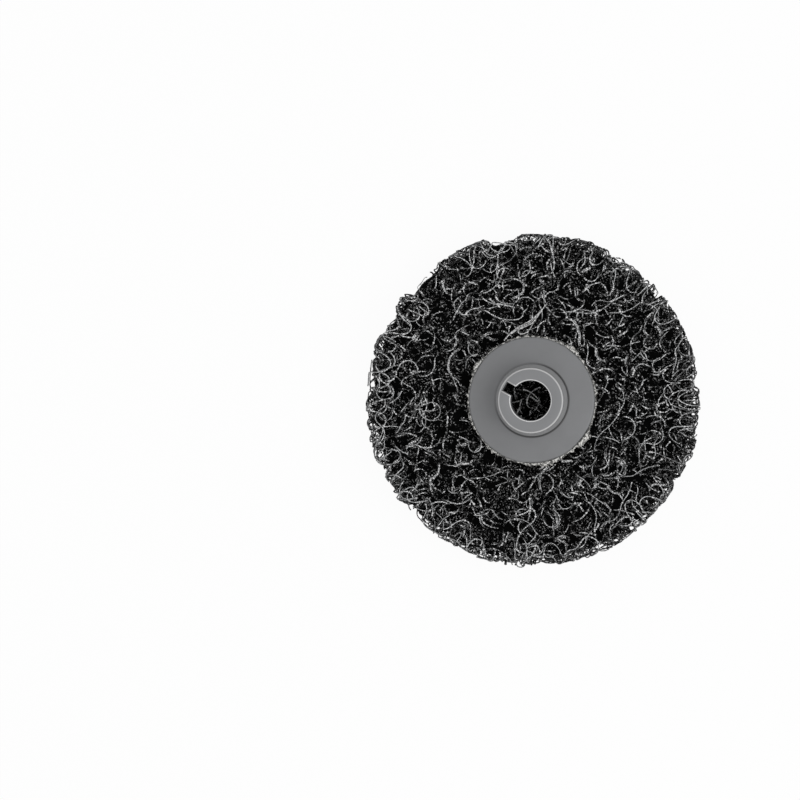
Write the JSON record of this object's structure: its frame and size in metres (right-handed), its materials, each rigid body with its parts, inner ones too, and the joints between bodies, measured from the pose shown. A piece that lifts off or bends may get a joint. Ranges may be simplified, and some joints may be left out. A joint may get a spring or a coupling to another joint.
{
  "type": "surface conditioning disc",
  "caption": "Thick round mat of coarse open fibre web with abrasive grain, with a keyed plastic hub bonded into its back for a quick-change holder.",
  "frame": {"origin": "centre of the disc on the plane of its working face", "axes": "+Z along the disc's axis, from the working face towards the hub"},
  "size_m": [0.0753, 0.0759, 0.0218],
  "materials": {
    "coated_fibre": "coarse crimped fibre with resin and dark abrasive grain",
    "cured_adhesive": "hard, uneven glue",
    "grey_nylon": "satin moulded grey"
  },
  "bodies": {
    "root": {"abrasive_web": "coated_fibre", "adhesive_bond": "cured_adhesive", "hub": "grey_nylon"}
  },
  "joints": []
}
